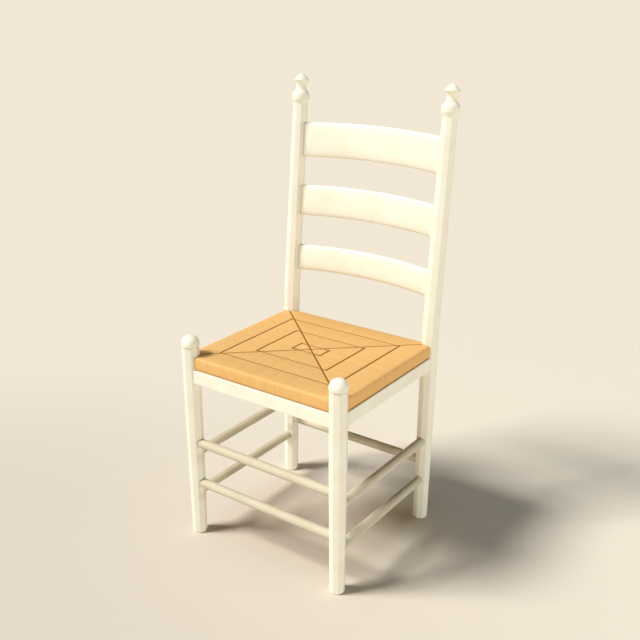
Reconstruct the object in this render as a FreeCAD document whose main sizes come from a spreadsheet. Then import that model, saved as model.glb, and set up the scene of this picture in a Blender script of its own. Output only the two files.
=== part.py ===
import FreeCAD, Part
import math
import os
import Sketcher

Vector = FreeCAD.Vector
os.makedirs("parts", exist_ok=True)
doc = FreeCAD.newDocument("LadderbackChair")

# Driving dimensions in millimetres and degrees.
# The floor is z = 0, the chair faces -Y, and its right side in the names is the side towards +X.
SIZES = {
    # Plan of the four post axes and the seat's height
    "post_axis_x": 196.5,
    "post_axis_y": 178.0,
    "seat_top": 450.0,
    # From the middle of the post axes back to the middle of the whole chair's depth, which is the origin
    "origin_setback": 27.5,
    # Eight-sided posts: radius is from the axis to an arris
    "post_radius": 19.2,
    "front_foot_radius": 16.8,
    "back_foot_radius": 17.6,
    "back_top_radius": 17.2,
    "arris_ease": 1.8,
    "foot_ease": 2.5,
    "foot_ease_height": 4.0,
    "taper_height": 300.0,
    # Front posts stand above the seat, and back posts above the top slat
    "front_post_rise": 19.5,
    "back_post_rise": 43.0,
    # Back posts: lean below the seat, rake above it, and the bend between
    "lean_angle": 1.3,
    "rake_angle": 5.2,
    "bend_below_seat": 10.0,
    "bend_length": 100.0,
    # Ball knobs on the front posts
    "knob_radius": 20.0,
    "knob_rise": 6.9,
    "knob_neck_radius": 17.0,
    "knob_neck_height": 1.5,
    "crown_tenon": 14.0,
    "crown_tenon_depth": 26.0,
    # Turned finials on the back posts
    "finial_foot_radius": 16.6,
    "finial_bulb_radius": 20.2,
    "finial_bulb_base": 9.0,
    "finial_bulb_top": 15.0,
    "finial_shoulder": 16.0,
    "finial_neck_radius": 13.5,
    "finial_neck_base": 29.0,
    "finial_hollow": 18.0,
    "finial_cap_radius": 17.2,
    "finial_cap_base": 51.5,
    "finial_cap_edge": 2.0,
    "finial_crown_radius": 9.8,
    "finial_crown_rise": 8.5,
    "finial_height": 68.5,
    # Bent slats: height of each, and the gap below it to the seat or the next slat
    "slat_thickness": 14.0,
    "slat_edge_round": 5.0,
    "slat_bow": 18.0,
    "slat_end_gap": 3.0,
    "bottom_slat_gap": 104.0,
    "bottom_slat_height": 62.0,
    "middle_slat_gap": 72.0,
    "middle_slat_height": 73.0,
    "top_slat_gap": 66.0,
    "top_slat_height": 80.0,
    # Seat rails and their stub tenons
    "rail_thickness": 24.0,
    "rail_height": 31.0,
    "rail_edge_round": 2.0,
    "rail_tenon_thickness": 9.0,
    "rail_tenon_height": 20.0,
    "crossing_tenon_gap": 1.0,
    # Round stretchers
    "stretcher_diameter": 21.0,
    "stretcher_tenon": 14.0,
    "front_upper_height": 236.5,
    "front_lower_height": 133.5,
    "side_upper_height": 206.5,
    "side_lower_height": 105.0,
    "back_stretcher_height": 150.0,
    # Depths of the joints, from a post's axis to the floor of the housing or socket
    "housing_floor": 12.0,
    "stretcher_housing_y": 8.0,
    "socket_past_axis": 3.0,
    "joint_gap": 0.15,
    # Rush seat: how far it reaches past the post axes, and the bands that its rings mark off
    "seat_reach_x": 10.5,
    "seat_reach_y": 9.0,
    "seat_thickness": 31.0,
    "seat_edge_round": 7.0,
    "post_notch_gap": 0.8,
    "groove_width": 3.0,
    "groove_depth": 2.0,
    "band_pitch": 56.4,
    # Wooden frame inside the rush
    "rush_wrap": 5.5,
    "bar_width": 42.0,
    "frame_notch_gap": 5.0,
    "bar_tenon_thickness": 8.0,
    "bar_tenon_width": 12.0,
    "bar_tenon_length": 25.0,
    "bar_tenon_shift": 1.5,
    # Corner blocks and the screws through them
    "block_leg": 74.0,
    "block_height": 25.0,
    "block_clearance": 0.5,
    "screw_inset_x": 15.0,
    "screw_inset_y": 40.0,
    "screw_diameter": 4.5,
    "screw_head": 9.0,
    "screw_head_height": 3.0,
    "screw_length": 38.0,
    "screw_hole_spare": 1.0,
}

sheet = doc.addObject("Spreadsheet::Sheet", "Sizes")
for row, (alias, size) in enumerate(SIZES.items(), start=1):
    sheet.set(f"A{row}", alias.replace("_", " "))
    sheet.set(f"B{row}", str(size))
    sheet.setAlias(f"B{row}", alias)
doc.recompute()


def value(text):
    """The number that a formula over the sheet's aliases gives, used to draw a sketch near its final shape."""
    probe.setExpression("Value", text)
    doc.recompute([probe])
    return float(probe.Value)


probe = doc.addObject("App::FeaturePython", "Probe")
probe.addProperty("App::PropertyFloat", "Value")


def cell(alias):
    """The sheet's cell of that alias, written for a formula."""
    return f"Sizes.{alias}"


# Sketch helpers

def origin_plane(body, role):
    """The origin plane of a body, by its role."""
    return next(f for f in body.Origin.OriginFeatures if f.Role == role)


def new_sketch(body, name, role, along="0", shift_x="0", shift_y="0", turn=None, axis=Vector(1, 0, 0)):
    """A sketch on one of the body's own planes, moved along its normal and within the plane."""
    sketch = body.newObject("Sketcher::SketchObject", name)
    sketch.AttachmentSupport = (origin_plane(body, role), [""])
    sketch.MapMode = "FlatFace"
    if turn is not None:
        sketch.AttachmentOffset = FreeCAD.Placement(Vector(), FreeCAD.Rotation(axis, 1.0))
        sketch.setExpression("AttachmentOffset.Rotation.Angle", turn)
    sketch.setExpression("AttachmentOffset.Base.x", f"({shift_x}) * 1mm")
    sketch.setExpression("AttachmentOffset.Base.y", f"({shift_y}) * 1mm")
    sketch.setExpression("AttachmentOffset.Base.z", f"({along}) * 1mm")
    return sketch


def bind(sketch, constraint, formula):
    """Adds a dimension to a sketch and ties it to a formula."""
    index = sketch.addConstraint(constraint)
    sketch.setExpression(f"Constraints[{index}]", formula)


def draw_loop(sketch, corners):
    """A closed chain of lines through the corners; gives the index of its first line."""
    first = sketch.GeometryCount
    count = len(corners)
    for k in range(count):
        start, end = corners[k], corners[(k + 1) % count]
        sketch.addGeometry(Part.LineSegment(Vector(*start, 0), Vector(*end, 0)), False)
    for k in range(count):
        sketch.addConstraint(Sketcher.Constraint("Coincident", first + k, 2, first + (k + 1) % count, 1))
    return first


def pin_point(sketch, geometry, end, x, y):
    """Ties one end of a line or arc to the sketch's origin by two formulas; a plain 0 lies on the axis."""
    for kind, formula, axis_line in (("DistanceX", x, -2), ("DistanceY", y, -1)):
        if formula == "0":
            sketch.addConstraint(Sketcher.Constraint("PointOnObject", geometry, end, axis_line))
        else:
            bind(sketch, Sketcher.Constraint(kind, -1, 1, geometry, end, value(formula)), formula)


def arc_between(start, end, radius, swell):
    """The arc of that radius between two points: its centre is on the left if swell is 1, right if -1."""
    chord_x, chord_y = end[0] - start[0], end[1] - start[1]
    chord = math.hypot(chord_x, chord_y)
    reach = math.sqrt(radius ** 2 - (chord / 2) ** 2) / chord
    centre_x = (start[0] + end[0]) / 2 - swell * reach * chord_y
    centre_y = (start[1] + end[1]) / 2 + swell * reach * chord_x
    first, last = (start, end) if swell > 0 else (end, start)
    angles = [math.atan2(p[1] - centre_y, p[0] - centre_x) for p in (first, last)]
    return Part.ArcOfCircle(Part.Circle(Vector(centre_x, centre_y, 0), Vector(0, 0, 1), radius), *angles)


def draw_outline(sketch, corners):
    """A closed outline through corners given as formulas (x, y), or (x, y, radius, swell) where an arc follows."""
    places = [(value(c[0]), value(c[1])) for c in corners]
    ends = []
    for k, corner in enumerate(corners):
        start, end = places[k], places[(k + 1) % len(corners)]
        if len(corner) == 2:
            edge = sketch.addGeometry(Part.LineSegment(Vector(*start, 0), Vector(*end, 0)), False)
            ends.append((edge, 1, 2))
            continue
        edge = sketch.addGeometry(arc_between(start, end, value(corner[2]), corner[3]), False)
        ends.append((edge, 1, 2) if corner[3] > 0 else (edge, 2, 1))
        bind(sketch, Sketcher.Constraint("Radius", edge, value(corner[2])), corner[2])
    for k, (edge, start, _) in enumerate(ends):
        before, _, last = ends[k - 1]
        sketch.addConstraint(Sketcher.Constraint("Coincident", before, last, edge, start))
        pin_point(sketch, edge, start, corners[k][0], corners[k][1])


def draw_rectangle(sketch, centre, width, height):
    """A rectangle from formulas for its centre and its two sizes."""
    (x, y) = centre
    left, right = f"{x} - ({width}) / 2", f"{x} + ({width}) / 2"
    low, high = f"{y} - ({height}) / 2", f"{y} + ({height}) / 2"
    first = draw_loop(sketch, [(value(a), value(b)) for a, b in
                               ((left, low), (right, low), (right, high), (left, high))])
    for k, direction in enumerate(("Horizontal", "Vertical") * 2):
        sketch.addConstraint(Sketcher.Constraint(direction, first + k))
    for kind, corner, formula in (("DistanceX", first, left), ("DistanceY", first, low),
                                  ("DistanceX", first + 2, right), ("DistanceY", first + 2, high)):
        bind(sketch, Sketcher.Constraint(kind, -1, 1, corner, 1, value(formula)), formula)


def draw_circle(sketch, centre, diameter):
    """A circle from formulas for its centre and its diameter."""
    x, y = value(centre[0]), value(centre[1])
    circle = sketch.addGeometry(Part.Circle(Vector(x, y, 0), Vector(0, 0, 1), value(diameter) / 2), False)
    bind(sketch, Sketcher.Constraint("Diameter", circle, value(diameter)), diameter)
    bind(sketch, Sketcher.Constraint("DistanceX", -1, 1, circle, 3, x), centre[0])
    bind(sketch, Sketcher.Constraint("DistanceY", -1, 1, circle, 3, y), centre[1])


def draw_eased_octagon(sketch, radius, ease):
    """Eight flats and eight narrow eases on one circle, with an arris towards each axis."""
    size, width = value(radius), value(ease)
    half_ease = math.asin(width / 2 / size)
    angles = []
    for k in range(8):
        angles += [math.radians(45 * k) - half_ease, math.radians(45 * k) + half_ease]
    first = draw_loop(sketch, [(size * math.cos(a), size * math.sin(a)) for a in angles])
    ring = sketch.addGeometry(Part.Circle(Vector(), Vector(0, 0, 1), size), True)
    sketch.addConstraint(Sketcher.Constraint("Coincident", ring, 3, -1, 1))
    bind(sketch, Sketcher.Constraint("Radius", ring, size), radius)
    for k in range(16):
        sketch.addConstraint(Sketcher.Constraint("PointOnObject", first + k, 1, ring))
    for k in range(1, 8):
        sketch.addConstraint(Sketcher.Constraint("Equal", first, first + 2 * k))
        if k < 7:
            sketch.addConstraint(Sketcher.Constraint("Equal", first + 1, first + 2 * k + 1))
    sketch.addConstraint(Sketcher.Constraint("Vertical", first))
    bind(sketch, Sketcher.Constraint("Distance", first, width), ease)


def draw_rounded_rectangle(sketch, left, low, width, height, corner):
    """A rectangle with four equal round corners, from formulas."""
    x, y, w, h, r = (value(f) for f in (left, low, width, height, corner))
    first = sketch.GeometryCount
    sides = [((x + r, y), (x + w - r, y)), ((x + w, y + r), (x + w, y + h - r)),
             ((x + w - r, y + h), (x + r, y + h)), ((x, y + h - r), (x, y + r))]
    for start, end in sides:
        sketch.addGeometry(Part.LineSegment(Vector(*start, 0), Vector(*end, 0)), False)
    centres = [(x + w - r, y + r, -90), (x + w - r, y + h - r, 0), (x + r, y + h - r, 90), (x + r, y + r, 180)]
    for cx, cy, start in centres:
        circle = Part.Circle(Vector(cx, cy, 0), Vector(0, 0, 1), r)
        arc = Part.ArcOfCircle(circle, math.radians(start), math.radians(start + 90))
        sketch.addGeometry(arc, False)
    for k in range(4):
        sketch.addConstraint(Sketcher.Constraint("Tangent", first + k, 2, first + 4 + k, 1))
        sketch.addConstraint(Sketcher.Constraint("Tangent", first + 4 + k, 2, first + (k + 1) % 4, 1))
    for k, direction in enumerate(("Horizontal", "Vertical")):
        sketch.addConstraint(Sketcher.Constraint(direction, first + k))
        sketch.addConstraint(Sketcher.Constraint(direction, first + k + 2))
    for k in range(1, 4):
        sketch.addConstraint(Sketcher.Constraint("Equal", first + 4, first + 4 + k))
    bind(sketch, Sketcher.Constraint("Radius", first + 4, r), corner)
    bind(sketch, Sketcher.Constraint("DistanceX", -1, 1, first + 3, 1, x), left)
    bind(sketch, Sketcher.Constraint("DistanceY", -1, 1, first, 1, y), low)
    bind(sketch, Sketcher.Constraint("DistanceX", first + 3, 1, first + 1, 1, w), width)
    bind(sketch, Sketcher.Constraint("DistanceY", first, 1, first + 2, 1, h), height)


# Feature helpers

# A cut takes away at least this volume, and a level edge climbs less than this height
LEAST_CUT = 1.0
LEVEL_CLIMB = 0.01


def new_body(node, place_x="0", place_y="0", place_z="0", turn=None, axis=Vector(1, 0, 0)):
    """A body with its node's name and a placement tied to the sheet."""
    body = doc.addObject("PartDesign::Body", "Body_" + node)
    body.Label = node
    if turn is not None:
        body.Placement = FreeCAD.Placement(Vector(), FreeCAD.Rotation(axis, 1.0))
        body.setExpression("Placement.Rotation.Angle", turn)
    for letter, formula in zip("xyz", (place_x, f"{place_y} - {cell('origin_setback')}", place_z)):
        body.setExpression(f"Placement.Base.{letter}", f"({formula}) * 1mm")
    return body


def pad(body, sketch, length, both_ways=False):
    """A pad of a sketch along its normal."""
    feature = body.newObject("PartDesign::Pad", sketch.Name + "_pad")
    feature.Profile = sketch
    feature.SideType = "Symmetric" if both_ways else "One side"
    feature.setExpression("Length", f"({length}) * 1mm")
    doc.recompute()
    return feature


def pocket(body, sketch, length, along_normal=False):
    """A pocket of a sketch, which has to take something away."""
    before = body.Shape.Volume
    feature = body.newObject("PartDesign::Pocket", sketch.Name + "_cut")
    feature.Profile = sketch
    feature.Reversed = along_normal
    feature.setExpression("Length", f"({length}) * 1mm")
    doc.recompute()
    if body.Shape.Volume > before - LEAST_CUT:
        raise RuntimeError(f"{sketch.Name} cuts nothing")
    return feature


def turned(body, name, outline):
    """A turned piece: a half outline of (radius, height) formulas spun about the body's vertical axis."""
    sketch = new_sketch(body, name, "XZ_Plane")
    draw_outline(sketch, outline)
    feature = body.newObject("PartDesign::Revolution", name + "_spin")
    feature.Profile = sketch
    feature.ReferenceAxis = (sketch, ["V_Axis"])
    feature.Angle = 360.0
    doc.recompute()
    return feature


# The back posts' line: its distance behind the foot at a height over the floor

SLOPE_LOW = f"tan({cell('lean_angle')})"
SLOPE_HIGH = f"tan({cell('rake_angle')})"
BEND_START = f"({cell('seat_top')} - {cell('bend_below_seat')})"
BEND_END = f"({BEND_START} + {cell('bend_length')})"


def below_bend(height):
    return f"(({height}) * {SLOPE_LOW})"


def in_bend(share):
    length = cell("bend_length")
    return (f"({BEND_START} * {SLOPE_LOW} + {length} * {share} * {SLOPE_LOW}"
            f" + {length} * {share} * {share} * ({SLOPE_HIGH} - {SLOPE_LOW}) / 2)")


def above_bend(height):
    return f"({in_bend(1)} + ({height} - {BEND_END}) * {SLOPE_HIGH})"


TURN_HIGH = f"-{cell('rake_angle')}"
RAIL_TOP = f"({cell('seat_top')} - {cell('seat_thickness')})"
RAIL_MIDDLE = f"({RAIL_TOP} - {cell('rail_height')} / 2)"
BACK_RAIL_Y = below_bend(RAIL_MIDDLE)
BEND_STEPS = 4
HOLE_GAP = f"2 * {cell('joint_gap')}"

# Radius of the slats' bow and the half angle that a slat and its mortise turn through
BOW_RADIUS = f"((({cell('post_axis_x')})^2 + ({cell('slat_bow')})^2) / (2 * {cell('slat_bow')}))"
SLAT_HALF_ANGLE = f"asin(({cell('post_axis_x')} - {cell('slat_end_gap')}) / {BOW_RADIUS})"
MORTISE_HALF_ANGLE = (f"asin(({cell('post_axis_x')} - {cell('slat_end_gap')} + {HOLE_GAP})"
                      f" / {BOW_RADIUS})")
SLATS = ("bottom", "middle", "top")
SIDES = (("left", -1), ("right", 1))


def slat_base(slat):
    """Height of a slat's lower edge over the floor: the seat, and the gaps and slats below it."""
    below = SLATS[:SLATS.index(slat)]
    steps = [f"{cell(name + '_slat_gap')} + {cell(name + '_slat_height')}" for name in below]
    return f"({' + '.join([cell('seat_top'), *steps, cell(slat + '_slat_gap')])})"


FRONT_POST_TOP = f"({cell('seat_top')} + {cell('front_post_rise')})"
BACK_POST_TOP = f"({slat_base('top')} + {cell('top_slat_height')} + {cell('back_post_rise')})"


# Joints cut into the posts

def cut_side_joints(body, side, rounds, rail_y):
    """Sockets and the rail mortise on the face that looks towards the other post of the pair."""
    inward = -side
    housing = new_sketch(body, f"{body.Label}_housing_x", "YZ_Plane", f"{inward} * {cell('housing_floor')}")
    for y, z in rounds:
        draw_circle(housing, (y, z), f"{cell('stretcher_diameter')} + {HOLE_GAP}")
    draw_rail_profile(housing, rail_y, cell("joint_gap"))
    pocket(body, housing, f"2 * {cell('post_radius')}", along_normal=inward > 0)
    socket = new_sketch(body, f"{body.Label}_socket_x", "YZ_Plane", f"{-inward} * {cell('socket_past_axis')}")
    for y, z in rounds:
        draw_circle(socket, (y, z), f"{cell('stretcher_tenon')} + {HOLE_GAP}")
    pocket(body, socket, f"2 * {cell('post_radius')}", along_normal=inward > 0)


def cut_rail_mortise(body, label, role, along, centre, along_normal):
    """The narrow mortise that a rail's stub tenon enters."""
    mortise = new_sketch(body, f"{body.Label}_{label}", role, along)
    draw_rectangle(mortise, centre, f"{cell('rail_tenon_thickness')} + {HOLE_GAP}",
                   f"{cell('rail_tenon_height')} + {HOLE_GAP}")
    pocket(body, mortise, cell("post_radius"), along_normal)


# A rail that enters a post at right angles to another one stops short of the other's tenon
X_TENON_STOP = f"({cell('rail_tenon_thickness')} / 2 + {cell('crossing_tenon_gap')})"


def make_front_post(name, side):
    """A straight eight-sided post that tapers to its foot."""
    body = new_body(f"front_post_{name}", f"{side} * {cell('post_axis_x')}", f"-{cell('post_axis_y')}")
    stations = [("0", f"{cell('front_foot_radius')} - {cell('foot_ease')}"),
                (cell("foot_ease_height"), cell("front_foot_radius")),
                (cell("taper_height"), cell("post_radius")),
                (FRONT_POST_TOP, cell("post_radius"))]
    sections = []
    for k, (height, radius) in enumerate(stations):
        sections.append(new_sketch(body, f"{body.Label}_section_{k}", "XY_Plane", height))
        draw_eased_octagon(sections[-1], radius, cell("arris_ease"))
    add_loft(body, sections)

    rounds = [("0", cell("front_upper_height")), ("0", cell("front_lower_height"))]
    cut_side_joints(body, side, rounds, "0")
    cut_rail_mortise(body, "mortise_x", "YZ_Plane", f"{-side} * {X_TENON_STOP}", ("0", RAIL_MIDDLE), side < 0)

    housing = new_sketch(body, f"{body.Label}_housing_y", "XZ_Plane", f"-{cell('housing_floor')}")
    socket = new_sketch(body, f"{body.Label}_socket_y", "XZ_Plane", cell("socket_past_axis"))
    for height in ("side_upper_height", "side_lower_height"):
        draw_circle(housing, ("0", cell(height)), f"{cell('stretcher_diameter')} + {HOLE_GAP}")
        draw_circle(socket, ("0", cell(height)), f"{cell('stretcher_tenon')} + {HOLE_GAP}")
    draw_rail_profile(housing, "0", cell("joint_gap"))
    pocket(body, housing, f"2 * {cell('post_radius')}")
    pocket(body, socket, f"2 * {cell('post_radius')}")
    cut_rail_mortise(body, "mortise_y", "XZ_Plane", "0", ("0", RAIL_MIDDLE), False)

    top = new_sketch(body, f"{body.Label}_crown_hole", "XY_Plane", FRONT_POST_TOP)
    draw_circle(top, ("0", "0"), f"{cell('crown_tenon')} + {HOLE_GAP}")
    pocket(body, top, f"{cell('crown_tenon_depth')} + {cell('joint_gap')}")
    return body


def add_loft(body, sections):
    """A ruled loft through a post's sections."""
    loft = body.newObject("PartDesign::AdditiveLoft", body.Label + "_loft")
    loft.Profile = sections[0]
    loft.Sections = sections[1:]
    loft.Ruled = True
    doc.recompute()


def make_back_post(name, side):
    """An eight-sided post that leans a little to the seat, bends there and is raked above it."""
    body = new_body(f"back_post_{name}", f"{side} * {cell('post_axis_x')}", cell("post_axis_y"))
    ease = cell("arris_ease")
    sections = []

    def station(height, setback, radius, turn=None):
        label = f"{body.Label}_section_{len(sections)}"
        sections.append(new_sketch(body, label, "XY_Plane", height, "0", setback, turn))
        draw_eased_octagon(sections[-1], radius, ease)

    station("0", "0", f"{cell('back_foot_radius')} - {cell('foot_ease')}")
    for height, radius in ((cell("foot_ease_height"), "back_foot_radius"), (cell("taper_height"), "post_radius"),
                           (BEND_START, "post_radius")):
        station(height, below_bend(height), cell(radius))
    for k in range(1, BEND_STEPS + 1):
        share = k / BEND_STEPS
        slope = f"({SLOPE_LOW} + ({SLOPE_HIGH} - {SLOPE_LOW}) * {share})"
        station(f"{BEND_START} + {cell('bend_length')} * {share}", in_bend(share), cell("post_radius"),
                f"-atan({slope})")
    station(BACK_POST_TOP, above_bend(BACK_POST_TOP), cell("back_top_radius"), TURN_HIGH)
    add_loft(body, sections)

    rounds = [(below_bend(cell("back_stretcher_height")), cell("back_stretcher_height"))]
    cut_side_joints(body, side, rounds, BACK_RAIL_Y)
    cut_rail_mortise(body, "mortise_x", "YZ_Plane", "0", (BACK_RAIL_Y, RAIL_MIDDLE), side < 0)

    housing = new_sketch(body, f"{body.Label}_housing_y", "XZ_Plane", cell("stretcher_housing_y"))
    socket = new_sketch(body, f"{body.Label}_socket_y", "XZ_Plane", f"-{cell('socket_past_axis')}")
    for height in ("side_upper_height", "side_lower_height"):
        draw_circle(housing, ("0", cell(height)), f"{cell('stretcher_diameter')} + {HOLE_GAP}")
        draw_circle(socket, ("0", cell(height)), f"{cell('stretcher_tenon')} + {HOLE_GAP}")
    pocket(body, housing, f"2 * {cell('post_radius')}", along_normal=True)
    pocket(body, socket, f"2 * {cell('post_radius')}", along_normal=True)
    rail = new_sketch(body, f"{body.Label}_rail_housing_y", "XZ_Plane",
                      f"{cell('housing_floor')} - {BACK_RAIL_Y}")
    draw_rail_profile(rail, "0", cell("joint_gap"))
    pocket(body, rail, f"2 * {cell('post_radius')}", along_normal=True)
    cut_rail_mortise(body, "mortise_y", "XZ_Plane", f"{X_TENON_STOP} - {BACK_RAIL_Y}", ("0", RAIL_MIDDLE), True)

    top = new_sketch(body, f"{body.Label}_crown_hole", "XY_Plane", BACK_POST_TOP, "0",
                     above_bend(BACK_POST_TOP), TURN_HIGH)
    draw_circle(top, ("0", "0"), f"{cell('crown_tenon')} + {HOLE_GAP}")
    pocket(body, top, f"{cell('crown_tenon_depth')} + {cell('joint_gap')}")
    cut_slat_mortises(body, side)
    return body


def cut_slat_mortises(body, side):
    """Three mortises spun about the centre of the slats' bow, so that the bent slats enter square."""
    lean = f"({cell('slat_bow')} - {BOW_RADIUS})"
    sketch = new_sketch(body, f"{body.Label}_slat_mortises", "YZ_Plane",
                        f"{-side} * {cell('post_axis_x')}",
                        f"{above_bend(BEND_END)} + {lean} * cos({cell('rake_angle')})",
                        f"{BEND_END} - {lean} * sin({cell('rake_angle')})", TURN_HIGH, Vector(0, 0, 1))
    for slat in SLATS:
        low = f"({slat_base(slat)} - {BEND_END}) / cos({cell('rake_angle')}) - {cell('joint_gap')}"
        draw_rounded_rectangle(sketch, f"{BOW_RADIUS} - {cell('slat_thickness')} / 2 - {cell('joint_gap')}", low,
                               f"{cell('slat_thickness')} + {HOLE_GAP}",
                               f"{cell(slat + '_slat_height')} + {HOLE_GAP}",
                               f"{cell('slat_edge_round')} + {cell('joint_gap')}")
    before = body.Shape.Volume
    groove = body.newObject("PartDesign::Groove", body.Label + "_slat_cut")
    groove.Profile = sketch
    groove.ReferenceAxis = (sketch, ["V_Axis"])
    groove.Midplane = True
    groove.setExpression("Angle", f"2 * {MORTISE_HALF_ANGLE}")
    doc.recompute()
    if body.Shape.Volume > before - LEAST_CUT:
        raise RuntimeError("the slat mortises cut nothing")


def make_slat(slat):
    """A slat bent to the bow's radius, with all its long edges rounded and its ends inside the mortises."""
    base = slat_base(slat)
    body = new_body(f"{slat}_slat", "0", f"{cell('post_axis_y')} + {above_bend(base)}", base, TURN_HIGH)
    sketch = new_sketch(body, f"{slat}_slat_profile", "YZ_Plane", "0", f"{cell('slat_bow')} - {BOW_RADIUS}")
    draw_rounded_rectangle(sketch, f"{BOW_RADIUS} - {cell('slat_thickness')} / 2", "0", cell("slat_thickness"),
                           cell(slat + "_slat_height"), cell("slat_edge_round"))
    bend = body.newObject("PartDesign::Revolution", f"{slat}_slat_bend")
    bend.Profile = sketch
    bend.ReferenceAxis = (sketch, ["V_Axis"])
    bend.Midplane = True
    bend.setExpression("Angle", f"2 * {SLAT_HALF_ANGLE}")
    doc.recompute()
    return body


def make_knob(name, side):
    """A ball turned with a short neck under it and a tenon for the post's end."""
    body = new_body(f"front_knob_{name}", f"{side} * {cell('post_axis_x')}", f"-{cell('post_axis_y')}",
                    FRONT_POST_TOP)
    radius, rise, neck = cell("knob_radius"), cell("knob_rise"), cell("knob_neck_height")
    tenon, depth = f"{cell('crown_tenon')} / 2", f"-{cell('crown_tenon_depth')}"
    turned(body, body.Label + "_turning", [
        ("0", depth), (tenon, depth), (tenon, "0"), (cell("knob_neck_radius"), "0"),
        (cell("knob_neck_radius"), neck),
        (f"sqrt({radius}^2 - ({rise} - {neck})^2)", neck, radius, 1),
        ("0", f"{rise} + {radius}")])
    return body


def make_finial(name, side):
    """A turned finial: a bulb, a neck and a pointed cap, on a tenon in line with the raked post."""
    body = new_body(f"back_finial_{name}", f"{side} * {cell('post_axis_x')}",
                    f"{cell('post_axis_y')} + {above_bend(BACK_POST_TOP)}", BACK_POST_TOP, TURN_HIGH)
    tenon, depth = f"{cell('crown_tenon')} / 2", f"-{cell('crown_tenon_depth')}"
    turned(body, body.Label + "_turning", [
        ("0", depth), (tenon, depth), (tenon, "0"),
        (cell("finial_foot_radius"), "0"),
        (cell("finial_bulb_radius"), cell("finial_bulb_base")),
        (cell("finial_bulb_radius"), cell("finial_bulb_top"), cell("finial_shoulder"), 1),
        (cell("finial_neck_radius"), cell("finial_neck_base"), cell("finial_hollow"), -1),
        (cell("finial_cap_radius"), cell("finial_cap_base")),
        (cell("finial_cap_radius"), f"{cell('finial_cap_base')} + {cell('finial_cap_edge')}"),
        (cell("finial_crown_radius"),
         f"{cell('finial_cap_base')} + {cell('finial_cap_edge')} + {cell('finial_crown_rise')}"),
        ("0", cell("finial_height"))])
    return body


def make_stretcher(node, half_length, tenon_reach, place, turn, axis):
    """A round stretcher with a smaller round tenon at each end; both lengths are pairs of formulas."""
    body = new_body(node, *place, turn=turn, axis=axis)
    bar, tenon = f"{cell('stretcher_diameter')} / 2", f"{cell('stretcher_tenon')} / 2"
    (start, end), (tenon_start, tenon_end) = half_length, tenon_reach
    turned(body, node + "_turning", [
        ("0", f"-({tenon_start})"), (tenon, f"-({tenon_start})"), (tenon, f"-({start})"), (bar, f"-({start})"),
        (bar, end), (tenon, end), (tenon, tenon_end), ("0", tenon_end)])
    return body


def make_stretchers():
    """Two stretchers in front, two at each side and one at the back."""
    past = f"{cell('socket_past_axis')} - {HOLE_GAP}"
    across = f"{cell('post_axis_x')} - {cell('housing_floor')}"
    across_tenon = f"{cell('post_axis_x')} + {past}"
    rows = [("front_stretcher_upper", f"-{cell('post_axis_y')}", cell("front_upper_height")),
            ("front_stretcher_lower", f"-{cell('post_axis_y')}", cell("front_lower_height")),
            ("back_stretcher", f"{cell('post_axis_y')} + {below_bend(cell('back_stretcher_height'))}",
             cell("back_stretcher_height"))]
    for node, setback, height in rows:
        make_stretcher(node, (across, across), (across_tenon, across_tenon), ("0", setback, height), "90",
                       Vector(0, 1, 0))
    front = f"{cell('post_axis_y')} - {cell('housing_floor')}"
    back = f"{cell('post_axis_y')} - {cell('stretcher_housing_y')}"
    tenons = (f"{cell('post_axis_y')} + {past}", f"{cell('post_axis_y')} + {past}")
    for name, side in SIDES:
        for level in ("upper", "lower"):
            place = (f"{side} * {cell('post_axis_x')}", "0", cell(f"side_{level}_height"))
            make_stretcher(f"{name}_stretcher_{level}", (front, back), tenons, place, "-90", Vector(1, 0, 0))


def draw_rail_profile(sketch, centre_x, gap="0"):
    """The rail's section with softened edges, on a sketch whose vertical is the height over the floor."""
    draw_rounded_rectangle(sketch, f"{centre_x} - {cell('rail_thickness')} / 2 - {gap}",
                           f"{RAIL_TOP} - {cell('rail_height')} - {gap}",
                           f"{cell('rail_thickness')} + 2 * {gap}", f"{cell('rail_height')} + 2 * {gap}",
                           f"{cell('rail_edge_round')} + {gap}")


def make_rails():
    """Four seat rails, each housed in two posts with a stub tenon at each end."""
    across = f"2 * ({cell('post_axis_x')} - {cell('housing_floor')})"
    rows = [("front_rail", f"-{cell('post_axis_y')}", X_TENON_STOP),
            ("back_rail", f"({cell('post_axis_y')} + {BACK_RAIL_Y})", "0")]
    for node, centre, stop in rows:
        body = new_body(node)
        profile = new_sketch(body, node + "_profile", "YZ_Plane")
        draw_rail_profile(profile, centre)
        pad(body, profile, across, both_ways=True)
        tenon = new_sketch(body, node + "_tenons", "YZ_Plane")
        draw_rectangle(tenon, (centre, RAIL_MIDDLE), cell("rail_tenon_thickness"), cell("rail_tenon_height"))
        pad(body, tenon, f"2 * ({cell('post_axis_x')} - {stop} - {cell('joint_gap')})", both_ways=True)

    back_floor = f"({cell('post_axis_y')} + {BACK_RAIL_Y} - {cell('housing_floor')})"
    back_stop = f"({cell('post_axis_y')} + {BACK_RAIL_Y} - {X_TENON_STOP} - {cell('joint_gap')})"
    for name, side in SIDES:
        node = name + "_rail"
        body = new_body(node, f"{side} * {cell('post_axis_x')}")
        profile = new_sketch(body, node + "_profile", "XZ_Plane", f"-{back_floor}")
        draw_rail_profile(profile, "0")
        pad(body, profile, f"{back_floor} + {cell('post_axis_y')} - {cell('housing_floor')}")
        tenon = new_sketch(body, node + "_tenons", "XZ_Plane", f"-{back_stop}")
        draw_rectangle(tenon, ("0", RAIL_MIDDLE), cell("rail_tenon_thickness"), cell("rail_tenon_height"))
        pad(body, tenon, f"{back_stop} + {cell('post_axis_y')} - {cell('joint_gap')}")


# Plan of the seat's corners: the four post axes at the height of the seat

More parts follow.
